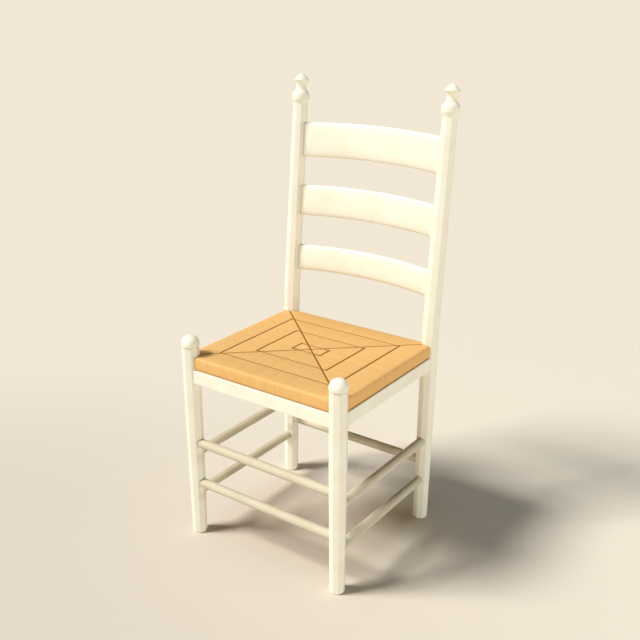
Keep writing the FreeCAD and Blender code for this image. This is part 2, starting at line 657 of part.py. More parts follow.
SEAT_MIDDLE = f"({cell('seat_top')} - {cell('seat_thickness')} / 2)"
SEAT_HALF_WIDTH = f"({cell('post_axis_x')} + {cell('seat_reach_x')})"
SEAT_HALF_DEPTH = f"({cell('post_axis_y')} + {cell('seat_reach_y')})"
POST_PLAN = [(name, end, f"{side} * {cell('post_axis_x')}",
              f"-{cell('post_axis_y')}" if end == "front"
              else f"({cell('post_axis_y')} + {below_bend(SEAT_MIDDLE)})")
             for end in ("front", "back") for name, side in SIDES]
FRAME_HALF_WIDTH = f"({SEAT_HALF_WIDTH} - {cell('rush_wrap')})"
FRAME_HALF_DEPTH = f"({SEAT_HALF_DEPTH} - {cell('rush_wrap')})"
BAR_BASE = f"({RAIL_TOP} + {cell('rush_wrap')})"
BAR_THICKNESS = f"({cell('seat_thickness')} - 2 * {cell('rush_wrap')})"
BAR_INNER_X = f"({FRAME_HALF_WIDTH} - {cell('bar_width')})"
BAR_TENON_Y = (f"({FRAME_HALF_DEPTH} - {cell('bar_width')} + {cell('bar_tenon_width')} / 2"
               f" + {cell('bar_tenon_shift')})")
BAR_MIDDLE = f"({BAR_BASE} + {BAR_THICKNESS} / 2)"
SCREW_HOLE_DEPTH = (f"({cell('screw_length')} - {cell('block_height')} - {cell('rush_wrap')}"
                    f" + {cell('screw_hole_spare')})")
RAIL_INNER_X = f"({cell('post_axis_x')} - {cell('rail_thickness')} / 2)"


def rail_inner_y(end):
    """Distance of a front or back rail's inner face from the middle of the chair."""
    setback = "0" if end == "front" else BACK_RAIL_Y
    return f"({cell('post_axis_y')} + {setback} - {cell('rail_thickness')} / 2)"


def screw_place(side, end):
    """Plan of the screw that holds the seat's frame down at one corner."""
    sign = -1 if end == "front" else 1
    return (f"{side} * ({RAIL_INNER_X} - {cell('screw_inset_x')})",
            f"{sign} * ({rail_inner_y(end)} - {cell('screw_inset_y')})")


def cut_post_notch(body, label, x, y, radius, base, height):
    """An eight-sided notch round one post."""
    notch = new_sketch(body, f"{body.Label}_{label}", "XY_Plane", base, x, y)
    draw_eased_octagon(notch, radius, cell("arris_ease"))
    pocket(body, notch, height, along_normal=True)


def make_frame_bars():
    """The seat's hidden frame: two long side bars notched round the posts, two bars tenoned between them."""
    bars = []
    for name, side in SIDES:
        node = "seat_bar_" + name
        body = new_body(node)
        plan = new_sketch(body, node + "_plan", "XY_Plane", BAR_BASE)
        draw_rectangle(plan, (f"{side} * ({FRAME_HALF_WIDTH} - {cell('bar_width')} / 2)", "0"),
                       cell("bar_width"), f"2 * {FRAME_HALF_DEPTH}")
        pad(body, plan, BAR_THICKNESS)
        for post_name, end, x, y in POST_PLAN:
            if post_name == name:
                cut_post_notch(body, "notch_" + end, x, y, f"{cell('post_radius')} + {cell('frame_notch_gap')}",
                               BAR_BASE, BAR_THICKNESS)
                hole = new_sketch(body, f"{node}_screw_hole_{end}", "XY_Plane", BAR_BASE)
                draw_circle(hole, screw_place(side, end), f"{cell('screw_diameter')} + {HOLE_GAP}")
                pocket(body, hole, SCREW_HOLE_DEPTH, along_normal=True)
        floor = f"{side} * ({BAR_INNER_X} + {cell('bar_tenon_length')})"
        mortises = new_sketch(body, node + "_mortises", "YZ_Plane", floor)
        for sign in (-1, 1):
            draw_rectangle(mortises, (f"{sign} * {BAR_TENON_Y}", BAR_MIDDLE), cell("bar_tenon_width"),
                           cell("bar_tenon_thickness"))
        pocket(body, mortises, cell("bar_tenon_length"), along_normal=side < 0)
        bars.append(body)
    for end, sign in (("front", -1), ("back", 1)):
        node = "seat_bar_" + end
        body = new_body(node)
        plan = new_sketch(body, node + "_plan", "XY_Plane", BAR_BASE)
        draw_rectangle(plan, ("0", f"{sign} * ({FRAME_HALF_DEPTH} - {cell('bar_width')} / 2)"),
                       f"2 * {BAR_INNER_X}", cell("bar_width"))
        pad(body, plan, BAR_THICKNESS)
        tenon = new_sketch(body, node + "_tenons", "YZ_Plane")
        draw_rectangle(tenon, (f"{sign} * {BAR_TENON_Y}", BAR_MIDDLE), cell("bar_tenon_width"),
                       cell("bar_tenon_thickness"))
        pad(body, tenon, f"2 * ({BAR_INNER_X} + {cell('bar_tenon_length')})", both_ways=True)
        bars.append(body)
    return bars


def make_rush_seat(bars):
    """The woven seat: a soft-edged slab with ring and mitre channels, wound round the frame's bars."""
    body = new_body("rush_slab")
    plan = new_sketch(body, "rush_plan", "XY_Plane", RAIL_TOP)
    draw_rectangle(plan, ("0", "0"), f"2 * {SEAT_HALF_WIDTH}", f"2 * {SEAT_HALF_DEPTH}")
    slab = pad(body, plan, cell("seat_thickness"))
    rounding = body.newObject("PartDesign::Fillet", "rush_edges")
    level = [f"Edge{k}" for k, edge in enumerate(slab.Shape.Edges, start=1)
             if abs(edge.Vertexes[0].Z - edge.Vertexes[1].Z) < LEVEL_CLIMB]
    rounding.Base = (slab, level)
    rounding.setExpression("Radius", f"{cell('seat_edge_round')} * 1mm")
    doc.recompute()
    for name, end, x, y in POST_PLAN:
        cut_post_notch(body, f"notch_{end}_{name}", x, y, f"{cell('post_radius')} + {cell('post_notch_gap')}",
                       RAIL_TOP, cell("seat_thickness"))

    channel_floor = f"{cell('seat_top')} - {cell('groove_depth')}"
    rings = new_sketch(body, "rush_rings", "XY_Plane", channel_floor)
    room = min(value(SEAT_HALF_WIDTH), value(SEAT_HALF_DEPTH)) - value(cell("groove_width"))
    for ring in range(1, 1 + int(room // value(cell("band_pitch")))):
        for edge in (-1, 1):
            sizes = [f"2 * ({half} - {ring} * {cell('band_pitch')}) + {edge} * {cell('groove_width')}"
                     for half in (SEAT_HALF_WIDTH, SEAT_HALF_DEPTH)]
            draw_rectangle(rings, ("0", "0"), *sizes)
    pocket(body, rings, f"2 * {cell('groove_depth')}", along_normal=True)

    # The mitres run straight between opposite posts, clear of them at both ends
    diagonal = f"sqrt({SEAT_HALF_WIDTH}^2 + {SEAT_HALF_DEPTH}^2)"
    angle = f"atan({SEAT_HALF_DEPTH} / {SEAT_HALF_WIDTH})"
    for label, sign in (("rising", 1), ("falling", -1)):
        mitre = new_sketch(body, "rush_mitre_" + label, "XY_Plane", channel_floor, turn=f"{sign} * {angle}",
                           axis=Vector(0, 0, 1))
        draw_rectangle(mitre, ("0", "0"), f"2 * {diagonal} - 4 * {cell('post_radius')}", cell("groove_width"))
        pocket(body, mitre, f"2 * {cell('groove_depth')}", along_normal=True)

    holes = new_sketch(body, "rush_screw_holes", "XY_Plane", RAIL_TOP)
    for name, side in SIDES:
        for end in ("front", "back"):
            draw_circle(holes, screw_place(side, end), f"{cell('screw_diameter')} + {HOLE_GAP}")
    pocket(body, holes, f"{cell('rush_wrap')} + {SCREW_HOLE_DEPTH}", along_normal=True)

    frame = doc.addObject("Part::MultiFuse", "frame_outline")
    frame.Shapes = bars
    seat = doc.addObject("Part::Cut", "rush_cover")
    seat.Base = body
    seat.Tool = frame
    seat.Label = "rush_seat"
    doc.recompute()
    return seat


def make_corner_block(name, side, end):
    """A three-cornered block glued behind two rails, bored for the screw that holds the seat down."""
    node = f"corner_block_{end}_{name}"
    body = new_body(node)
    sign = -1 if end == "front" else 1
    base = f"({RAIL_TOP} - {cell('block_height')})"
    plan = new_sketch(body, node + "_plan", "XY_Plane", base)
    x, y = RAIL_INNER_X, rail_inner_y(end)
    draw_outline(plan, [(f"{side} * {x}", f"{sign} * {y}"),
                        (f"{side} * {x}", f"{sign} * ({y} - {cell('block_leg')})"),
                        (f"{side} * ({x} - {cell('block_leg')})", f"{sign} * {y}")])
    pad(body, plan, cell("block_height"))
    post_x, post_y = next((px, py) for post, e, px, py in POST_PLAN if (post, e) == (name, end))
    cut_post_notch(body, "notch", post_x, post_y, f"{cell('post_radius')} + {cell('block_clearance')}", base,
                   cell("block_height"))
    for label, diameter, depth in (("bore", "screw_diameter", "block_height"),
                                   ("counterbore", "screw_head", "screw_head_height")):
        hole = new_sketch(body, f"{node}_{label}", "XY_Plane", base)
        draw_circle(hole, screw_place(side, end), f"{cell(diameter)} + {HOLE_GAP}")
        pocket(body, hole, cell(depth), along_normal=True)
    return body


def make_seat_screws():
    """The four screws as one group: each has a flat head in its block and a shank up into the seat's frame."""
    base = f"({RAIL_TOP} - {cell('block_height')})"
    shank, head = f"{cell('screw_diameter')} / 2", f"{cell('screw_head')} / 2"
    screws = []
    for name, side in SIDES:
        for end in ("front", "back"):
            body = new_body(f"screw_{end}_{name}", *screw_place(side, end), base)
            turned(body, f"{body.Label}_turning", [
                ("0", "0"), (head, "0"), (head, cell("screw_head_height")), (shank, cell("screw_head_height")),
                (shank, f"{cell('screw_length')} - {shank}"), ("0", cell("screw_length"))])
            screws.append(body)
    group = doc.addObject("Part::Compound", "screw_group")
    group.Links = screws
    group.Label = "seat_screws"
    doc.recompute()
    return group


# The whole chair

for name, side in SIDES:
    make_front_post(name, side)
    make_knob(name, side)
    make_back_post(name, side)
    make_finial(name, side)
for slat in SLATS:
    make_slat(slat)
make_rails()
make_stretchers()
make_rush_seat(make_frame_bars())
for end in ("front", "back"):
    for name, side in SIDES:
        make_corner_block(name, side, end)
make_seat_screws()

HIDDEN_STEPS = ("rush_slab", "screw_")
doc.recompute()
for item in doc.Objects:
    if "Invalid" in item.State or "Error" in item.State:
        raise RuntimeError(f"{item.Label}: {item.State}")
parts = [item for item in doc.Objects
         if item.TypeId in ("PartDesign::Body", "Part::Cut", "Part::Compound")
         and not item.Label.startswith(HIDDEN_STEPS)]
for item in parts:
    if item.Shape.isNull() or not item.Shape.isValid():
        raise RuntimeError(f"{item.Label} has no valid shape")
for item in parts:
    item.Shape.exportStep(f"parts/{item.Label}.step")
    print(item.Label, len(item.Shape.Solids), round(item.Shape.Volume / 1000, 1), "cm3")
print(len(parts), "sub-parts")
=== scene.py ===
"""A cream painted ladderback chair with a rush seat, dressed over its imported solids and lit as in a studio.

Lengths are in metres, +Z is up, and the chair faces -Y, as in the CAD model.
"""

from __future__ import annotations

import logging
import math
from dataclasses import dataclass, field
from enum import Enum

import bmesh
import bpy
import numpy as np
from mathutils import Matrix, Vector

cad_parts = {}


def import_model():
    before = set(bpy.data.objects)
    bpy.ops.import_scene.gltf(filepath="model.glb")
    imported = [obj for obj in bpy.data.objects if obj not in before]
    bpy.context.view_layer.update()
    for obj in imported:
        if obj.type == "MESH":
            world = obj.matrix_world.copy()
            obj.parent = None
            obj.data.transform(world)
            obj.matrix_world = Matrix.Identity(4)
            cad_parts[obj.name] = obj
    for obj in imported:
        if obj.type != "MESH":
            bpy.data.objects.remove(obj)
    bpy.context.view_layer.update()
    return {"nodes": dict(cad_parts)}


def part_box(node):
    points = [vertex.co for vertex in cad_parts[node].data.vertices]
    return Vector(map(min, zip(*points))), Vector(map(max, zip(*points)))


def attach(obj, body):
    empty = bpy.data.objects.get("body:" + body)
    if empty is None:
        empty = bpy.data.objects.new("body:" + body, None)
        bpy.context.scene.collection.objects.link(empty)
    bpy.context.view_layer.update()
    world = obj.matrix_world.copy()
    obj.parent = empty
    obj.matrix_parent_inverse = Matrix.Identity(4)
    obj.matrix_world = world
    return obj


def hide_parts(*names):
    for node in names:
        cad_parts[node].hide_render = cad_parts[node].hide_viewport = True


log = logging.getLogger("ladderback")

MM = 0.001

# Share of a cord by which a place on the border of two cords is moved on, so that it counts to the second
SLIVER = 1e-6


def linear(hex_colour: str) -> tuple[float, float, float, float]:
    """Turns an sRGB hex colour into the linear RGBA that a shader takes.

    Args:
        hex_colour: six hex digits, such as "F2E8D5".

    Returns:
        Red, green, blue and alpha in linear light.
    """
    channels = [int(hex_colour[k:k + 2], 16) / 255.0 for k in (0, 2, 4)]
    bent = [c / 12.92 if c <= 0.04045 else ((c + 0.055) / 1.055) ** 2.4 for c in channels]
    return (bent[0], bent[1], bent[2], 1.0)


def add_node(tree: bpy.types.NodeTree, kind: str, inputs: dict | None = None, **settings) -> bpy.types.Node:
    """Adds one shader node with its settings, fixed values and links.

    Args:
        tree: the node tree that gets it.
        kind: the node's type, without the "ShaderNode" in front.
        inputs: socket name or number to a value, or to another node's output socket.
        **settings: the node's own properties.

    Returns:
        The new node.
    """
    node = tree.nodes.new("ShaderNode" + kind)
    for name, setting in settings.items():
        setattr(node, name, setting)
    for name, source in (inputs or {}).items():
        if isinstance(source, bpy.types.NodeSocket):
            tree.links.new(source, node.inputs[name])
        else:
            node.inputs[name].default_value = source
    return node


def new_material(name: str) -> tuple[bpy.types.Material, bpy.types.NodeTree]:
    """Makes an empty node material.

    Args:
        name: the material's name.

    Returns:
        The material and its emptied node tree.
    """
    material = bpy.data.materials.new(name)
    material.use_nodes = True
    material.node_tree.nodes.clear()
    return material, material.node_tree


def close_surface(tree: bpy.types.NodeTree, shader: bpy.types.Node) -> None:
    """Joins a shader to a new material output."""
    add_node(tree, "OutputMaterial", {"Surface": shader.outputs[0]})


def streaks(tree: bpy.types.NodeTree, place: bpy.types.NodeSocket, sizes: tuple[float, float, float],
            detail: float, roughness: float = 0.5) -> bpy.types.NodeSocket:
    """Adds a noise that is drawn out along a piece.

    Args:
        tree: the material's node tree.
        place: the Object coordinates.
        sizes: length of one streak along X, Y and Z.
        detail: how many finer layers the noise has.
        roughness: how strong each finer layer is.

    Returns:
        The noise, from 0 to 1.
    """
    stretched = add_node(tree, "Mapping", {"Vector": place, "Scale": [1.0 / size for size in sizes]})
    noise = add_node(tree, "TexNoise", {"Vector": stretched.outputs[0], "Scale": 1.0, "Detail": detail,
                                        "Roughness": roughness})
    return noise.outputs[0]


def put_on(piece: bpy.types.Object, material: bpy.types.Material) -> None:
    """Sets a piece's material slots to one material."""
    for slot in piece.material_slots:
        slot.material = material


def mesh_object(name: str, points: np.ndarray, faces: list[list[int]]) -> bpy.types.Object:
    """Makes a smooth mesh object at the origin from its points and faces.

    Args:
        name: name of the piece.
        points: (n, 3) places in metres.
        faces: corner numbers of each face, counter-clockwise seen from outside.

    Returns:
        The linked object.
    """
    mesh = bpy.data.meshes.new(name)
    mesh.from_pydata(points.tolist(), [], faces)
    mesh.validate()
    mesh.polygons.foreach_set("use_smooth", np.ones(len(mesh.polygons), dtype=bool))
    mesh.update()
    piece = bpy.data.objects.new(name, mesh)
    bpy.context.scene.collection.objects.link(piece)
    return piece


def groove(distance: np.ndarray, half_width: float) -> np.ndarray:
    """Share of a groove's depth at a distance from its middle: exp(-(distance / half_width)^4)."""
    return np.exp(-(distance / half_width) ** 4)


def set_value(piece: bpy.types.Object, name: str, values: np.ndarray) -> None:
    """Stores one number per point on a mesh, for its material to read."""
    piece.data.attributes.new(name, "FLOAT", "POINT").data.foreach_set("value", values.astype(np.float32))


def weld_and_close(piece: bpy.types.Object, distance: float) -> None:
    """Joins the points of a mesh that lie on each other, fills its holes flat and turns its faces outwards.

    Args:
        piece: the mesh object.
        distance: how far apart two points may lie to be joined.
    """
    work = bmesh.new()
    work.from_mesh(piece.data)
    bmesh.ops.remove_doubles(work, verts=work.verts, dist=distance)
    rims = [edge for edge in work.edges if len(edge.link_faces) == 1]
    walls = bmesh.ops.holes_fill(work, edges=rims, sides=0)["faces"]
    for face in bmesh.ops.triangulate(work, faces=walls, ngon_method="BEAUTY")["faces"]:
        face.smooth = False
    bmesh.ops.recalc_face_normals(work, faces=work.faces)
    work.to_mesh(piece.data)
    work.free()


class Grain(Enum):
    """The way that a piece's grain and brush strokes run."""

    ALONG_X = "x"
    ALONG_Y = "y"
    ALONG_Z = "z"

    def sizes(self, length: float, width: float) -> tuple[float, float, float]:
        """Size along X, Y and Z of a streak that is long with the grain and narrow across it."""
        return tuple(length if axis == self.value else width for axis in "xyz")


@dataclass(frozen=True)
class CreamPaint:
    """Brushed satin enamel over sanded wood.

    The eye gets an even cream with a soft sheen, faint strokes of the brush along each piece, and a tone
    that drifts by a percent or two where the coat is thicker. A brush leaves strokes of half a millimetre,
    too fine to show, so they are drawn coarser.
    """

    name: str = "cream_enamel"
    tone: str = "ECE8D4"
    thin_tone: str = "EAE2CA"
    roughness: float = 0.5
    roughness_swing: float = 0.05
    shine: float = 0.32
    stroke_width: float = 1.2 * MM
    stroke_length: float = 60 * MM
    stroke_depth: float = 0.05 * MM
    drift_size: float = 45 * MM

    def build(self, grain: Grain) -> bpy.types.Material:
        """Makes the paint for pieces whose grain runs one way.

        Args:
            grain: the direction of the brush strokes.

        Returns:
            The material.
        """
        material, tree = new_material(f"{self.name}_{grain.value}")
        place = add_node(tree, "TexCoord").outputs["Object"]
        strokes = streaks(tree, place, grain.sizes(self.stroke_length, self.stroke_width),
                          detail=3.0, roughness=0.55)
        drift = add_node(tree, "TexNoise", {"Vector": place, "Scale": 1.0 / self.drift_size, "Detail": 2.0})
        blend = add_node(tree, "MapRange", {"Value": drift.outputs[0], "From Min": 0.35, "From Max": 0.75})
        colour = add_node(tree, "Mix", {"Factor": blend.outputs[0], "A": linear(self.tone),
                                        "B": linear(self.thin_tone)}, data_type="RGBA")
        swing = self.roughness_swing
        gloss = add_node(tree, "MapRange", {"Value": strokes, "To Min": self.roughness - swing,
                                            "To Max": self.roughness + swing})
        bump = add_node(tree, "Bump", {"Height": strokes, "Distance": self.stroke_depth, "Strength": 0.6})
        shader = add_node(tree, "BsdfPrincipled", {
            "Base Color": colour.outputs[2], "Roughness": gloss.outputs[0], "Normal": bump.outputs[0],
            "IOR": 1.5, "Specular IOR Level": self.shine})
        close_surface(tree, shader)
        return material


@dataclass(frozen=True)
class PlanedWood:
    """Planed beech left bare under the seat: a warm tan with fine darker streaks and no gloss."""

    light: str = "CDA777"
    dark: str = "A97F50"
    roughness: float = 0.62
    streak_width: float = 2.5 * MM
    streak_length: float = 90 * MM
    pore_depth: float = 0.1 * MM

    def build(self) -> bpy.types.Material:
        """Makes the wood, with its streaks along X.

        Returns:
            The material.
        """
        material, tree = new_material("planed_beech")
        place = add_node(tree, "TexCoord").outputs["Object"]
        grain = streaks(tree, place, Grain.ALONG_X.sizes(self.streak_length, self.streak_width),
                        detail=4.0)
        colour = add_node(tree, "Mix", {"Factor": grain, "A": linear(self.light), "B": linear(self.dark)},
                          data_type="RGBA")
        bump = add_node(tree, "Bump", {"Height": grain, "Distance": self.pore_depth, "Strength": 0.5})
        shader = add_node(tree, "BsdfPrincipled", {"Base Color": colour.outputs[2], "IOR": 1.5,
                                                   "Roughness": self.roughness, "Normal": bump.outputs[0]})
        close_surface(tree, shader)
        return material


@dataclass(frozen=True)
class ZincSteel:
    """Zinc plated screw steel: a grey metal whose dull shine differs from speck to speck."""

    tone: str = "B9BABB"
    specks_per_metre: float = 900.0
    roughness: tuple[float, float] = (0.30, 0.48)

    def build(self) -> bpy.types.Material:
        """Makes the metal.

        Returns:
            The material.
        """
        material, tree = new_material("zinc_plated_steel")
        place = add_node(tree, "TexCoord").outputs["Object"]
        specks = add_node(tree, "TexNoise", {"Vector": place, "Scale": self.specks_per_metre, "Detail": 2.0})
        gloss = add_node(tree, "MapRange", {"Value": specks.outputs[0], "To Min": self.roughness[0],
                                            "To Max": self.roughness[1]})
        shader = add_node(tree, "BsdfPrincipled", {"Base Color": linear(self.tone), "Metallic": 1.0,
                                                   "Roughness": gloss.outputs[0]})
        close_surface(tree, shader)
        return material


@dataclass(frozen=True)
class TwistedRush:
    """Dried bulrush leaves twisted into cords and wound tight: a matte honey tan.

    The eye gets cords that differ a little in tone and fine slanting fibres on each of them. The channels
    between the bands and the mitres are painted dark brown: painted shade, laid on top of the shade that
    their grooves cast. Real fibres are half a millimetre wide, too fine to show, so they are drawn coarser.
    """

    tone: str = "DFAF6C"
    pale: str = "E8BC77"
    ripe: str = "D3A15F"
    # Painted shade: the dark brown that the channels and mitres are painted
    channel: str = "8A5410"
    roughness: float = 0.72
    shine: float = 0.2
    twist_pitch: float = 2.4 * MM
    twist_depth: float = 0.12 * MM
    fibres_per_metre: float = 420.0

    def build(self) -> bpy.types.Material:
        """Makes the rush; it reads from the mesh each cord's tone and run, and the share of painted shade in
        the channels and mitres.

        Returns:
            The material.
        """
        material, tree = new_material("twisted_rush")
        cord_tone = add_node(tree, "Attribute", attribute_name="cord_tone").outputs["Fac"]
        channel = add_node(tree, "Attribute", attribute_name="channel").outputs["Fac"]
        run = add_node(tree, "UVMap", uv_map="cord_run").outputs[0]
        place = add_node(tree, "TexCoord").outputs["Object"]
        fibres = add_node(tree, "TexNoise", {"Vector": place, "Scale": self.fibres_per_metre, "Detail": 4.0,
                                             "Roughness": 0.65})
        # A wave texture of scale 1 has a band every 2 pi / 10 units, and the run counts one unit a twist
        twist = add_node(tree, "TexWave", {"Vector": run, "Scale": 2 * math.pi / 10, "Distortion": 1.2,
                                           "Detail": 2.0, "Detail Scale": 1.5}, bands_direction="DIAGONAL")
        tones = add_node(tree, "Mix", {"Factor": cord_tone, "A": linear(self.ripe), "B": linear(self.pale)},
                         data_type="RGBA")
        grain = add_node(tree, "MapRange", {"Value": fibres.outputs[0], "From Min": 0.3, "From Max": 0.7,
                                            "To Min": 0.0, "To Max": 0.35})
        body = add_node(tree, "Mix", {"Factor": grain.outputs[0], "A": tones.outputs[2],
                                      "B": linear(self.tone)}, data_type="RGBA")
        # Painted shade: the channels and mitres are darkened to the dark brown by their share
        colour = add_node(tree, "Mix", {"Factor": channel, "A": body.outputs[2], "B": linear(self.channel)},
                          data_type="RGBA")
        height = add_node(tree, "Math", {0: twist.outputs["Fac"], 1: fibres.outputs[0]}, operation="ADD")
        bump = add_node(tree, "Bump", {"Height": height.outputs[0], "Distance": self.twist_depth,
                                       "Strength": 0.5})
        shader = add_node(tree, "BsdfPrincipled", {
            "Base Color": colour.outputs[2], "Roughness": self.roughness, "Normal": bump.outputs[0],
            "IOR": 1.45, "Specular IOR Level": self.shine})
        close_surface(tree, shader)
        return material


class RailSide(Enum):
    """The four rails that the rush is wound over: unit vector along the rail, and outwards."""

    FRONT = ((1.0, 0.0), (0.0, -1.0))
    RIGHT = ((0.0, 1.0), (1.0, 0.0))
    BACK = ((-1.0, 0.0), (0.0, 1.0))
    LEFT = ((0.0, -1.0), (-1.0, 0.0))


@dataclass(frozen=True)
class Flank:
    """One side of the seat, from its rail to the middle: its directions, sizes and channels.

    Places on it are measured from the seat's middle, along the rail and outwards, towards the rail.
    """

    along: np.ndarray
    out: np.ndarray
    half_rail: float
    across: float
    channel_half: float


@dataclass
class RushSeat:
    """The wound seat: cords run over and under each rail and turn at the mitres.

    Marks are places where the mesh has points: across a cord in shares of its pitch, and across a channel or
    a mitre in half widths of it.
    """

    cord_pitch: float = 4.6 * MM
    cord_relief: float = 0.45 * MM
    cord_power: float = 2.4
    cord_marks: tuple[float, ...] = (0.0, 0.08, 0.26, 0.5, 0.74, 0.92)
    tone_range: tuple[float, float] = (0.35, 0.65)
    swell_spread: float = 0.06
    seed: int = 11
    band_pitch: float = 56.4 * MM
    bands: int = 3
    channel_half: float = 1.6 * MM
    side_channel_half: float = 2.2 * MM
    channel_depth: float = 1.2 * MM
    channel_marks: tuple[float, ...] = (-1.6, -1.2, -1.0, -0.8, -0.5, 0.0, 0.5, 0.8, 1.0, 1.2, 1.6)
    channel_smoothing: float = 0.6
    mitre_half: float = 2.0 * MM
    mitre_depth: float = 1.4 * MM
    mitre_marks: tuple[float, ...] = (0.0, 0.45, 0.75, 1.0, 1.3, 1.8)
    mitre_tries: int = 20001
    edge_round: float = 7 * MM
    edge_points: int = 8
    flat_start: float = 7.35 * MM
    under_points: int = 5
    level_normal: float = 0.99
    weld_distance: float = 0.02 * MM
    post_gap: float = 0.8 * MM
    post_radius: float = 19.2 * MM
    back_foot_radius: float = 17.6 * MM
    back_lean: float = math.radians(1.3)
    finish: TwistedRush = field(default_factory=TwistedRush)
    middle: np.ndarray = field(init=False)
    half: np.ndarray = field(init=False)
    count: int = field(init=False)
    tones: np.ndarray = field(init=False)
    swells: np.ndarray = field(init=False)

    def __post_init__(self) -> None:
        """Measures the CAD seat, and draws a tone and a thickness for each cord of a side."""
        low, high = (np.array(corner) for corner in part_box("rush_seat"))
        self.middle = (low + high) / 2
        self.half = (high - low) / 2
        self.count = 2 * round(float(self.half[0]) / self.cord_pitch)
        rng = np.random.default_rng(self.seed)
        self.tones = rng.uniform(*self.tone_range, self.count)
        self.swells = rng.normal(0.0, self.swell_spread, self.count)

    def build(self) -> bpy.types.Object:
        """Makes the cords of all four sides as one closed mesh in place of the CAD solid.

        Returns:
            The piece.
        """
        sheets = [self.wind(self.flank(side)) for side in RailSide]
        start = np.cumsum([0] + [len(points) for points, _, _ in sheets])
        points = np.concatenate([sheet[0] for sheet in sheets])
        quads = np.concatenate([sheet[1] + offset for sheet, offset in zip(sheets, start)])
        values = np.concatenate([sheet[2] for sheet in sheets])
        faces = [list(dict.fromkeys(quad)) for quad in quads.tolist()]
        cords = mesh_object("rush_cords", points, [face for face in faces if len(face) > 2])
        set_value(cords, "cord_tone", values[:, 0])
        # The share of painted shade in the channels and mitres
        set_value(cords, "channel", values[:, 1])
        loops = np.empty(len(cords.data.loops), dtype=np.int32)
        cords.data.loops.foreach_get("vertex_index", loops)
        runs = cords.data.uv_layers.new(name="cord_run")
        runs.data.foreach_set("uv", values[loops, 2:4].astype(np.float32).ravel())
        weld_and_close(cords, self.weld_distance)

        cords.data.materials.append(self.finish.build())
        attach(cords, "root")
        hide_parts("rush_seat")
        log.info("rush seat: %d cords a side, %d faces", self.count, len(cords.data.polygons))
        return cords

    def flank(self, side: RailSide) -> Flank:
        """Measures a side; the photograph's channels are wider along the left and right rails.

        Args:
            side: the rail.

        Returns:
            Its directions and sizes.
        """
        along, out = (np.array(direction) for direction in side.value)
        wide = side in (RailSide.LEFT, RailSide.RIGHT)
        return Flank(along, out, half_rail=float(np.abs(along) @ self.half[:2]),
                     across=float(np.abs(out) @ self.half[:2]),
                     channel_half=self.side_channel_half if wide else self.channel_half)

    def profile(self, flank: Flank) -> tuple[np.ndarray, np.ndarray]:
        """The line that a cord follows, cut across the rail.

        From the middle of the seat along the flat top, round the upper edge by a quarter circle, down the
        rail's face, round the lower edge and back to the middle. The flat top has points close together
        where a channel crosses it.

        Args:
            flank: the side of the seat.

        Returns:
            (n, 2) pairs of distance inwards from the rail's face and height, and (n, 2) outward normals.
        """
        top, bottom = self.middle[2] + self.half[2], self.middle[2] - self.half[2]
        steps = np.array(self.channel_marks) * flank.channel_half
        marks = [np.array([flank.across, self.band_pitch / 2])]
        for k in range(1, self.bands + 1):
            marks += [k * self.band_pitch - steps, np.array([(k + 0.5) * self.band_pitch])]
        flat = np.unique(np.concatenate(marks))[::-1]
        flat = flat[(flat > self.flat_start) & (flat <= flank.across)]
        turn = np.linspace(0.0, math.pi / 2, self.edge_points)
        radius = self.edge_round
        upper = np.stack([radius - radius * np.sin(turn), top - radius + radius * np.cos(turn)], 1)
        lower = np.stack([radius - radius * np.cos(turn), bottom + radius - radius * np.sin(turn)], 1)
        under = np.linspace(self.band_pitch / 2, flank.across, self.under_points)
        line = np.concatenate([np.stack([flat, np.full_like(flat, top)], 1), upper,
                               [[0.0, (top + bottom) / 2]], lower,
                               np.stack([under, np.full_like(under, bottom)], 1)])
        normals = np.concatenate([np.tile([0.0, 1.0], (len(flat), 1)),
                                  np.stack([-np.sin(turn), np.cos(turn)], 1), [[-1.0, 0.0]],
                                  np.stack([-np.cos(turn), -np.sin(turn)], 1),
                                  np.tile([0.0, -1.0], (len(under), 1))])
        return line, normals

    def channel_share(self, flank: Flank, outwards: np.ndarray, sideways: np.ndarray) -> np.ndarray:
        """How much of a channel there is at a place on the seat's top, from 0 to 1.

        The channels are grooves along nested rectangles, each one band further in from the seat's edges than
        the one before. A place's distance from a rectangle is the greater of its distances outwards and
        sideways from the rectangle's two nearest edges.

        Args:
            flank: the side of the seat.
            outwards: distance from the seat's middle towards the rail.
            sideways: distance from the seat's middle along the rail.

        Returns:
            The share at each place.
        """
        share = np.zeros(np.broadcast(outwards, sideways).shape)
        for k in range(1, self.bands + 1):
            inset = k * self.band_pitch
            away = np.maximum(np.abs(outwards) - (flank.across - inset),
                              np.abs(sideways) - (flank.half_rail - inset))
            share = np.maximum(share, groove(away, flank.channel_half))
        return share

    def wind(self, flank: Flank) -> tuple[np.ndarray, np.ndarray, np.ndarray]:
        """The surface of all the cords over one rail.

        The surface is a grid: one way counts along the rail, six points to each cord, and the other way
        follows the cord's line. Each point lies on that line, moved along its normal by the cord's round
        back, a ridge that falls by the relief to a valley on each side, and by the channels. The mitre runs
        from the seat's corner to its middle. The line is cut short there, with a few points close together
        where it dips into the mitre. Both sides of a mitre have their cords at the same shares of their
        rails, so they meet point to point.

        Args:
            flank: the side of the seat.

        Returns:
            Points, quads and, for each point, the cord's tone, the share of painted shade in the channels and
            mitres, and the run's two coordinates.
        """
        line, normals = self.profile(flank)
        column = self.columns(flank)

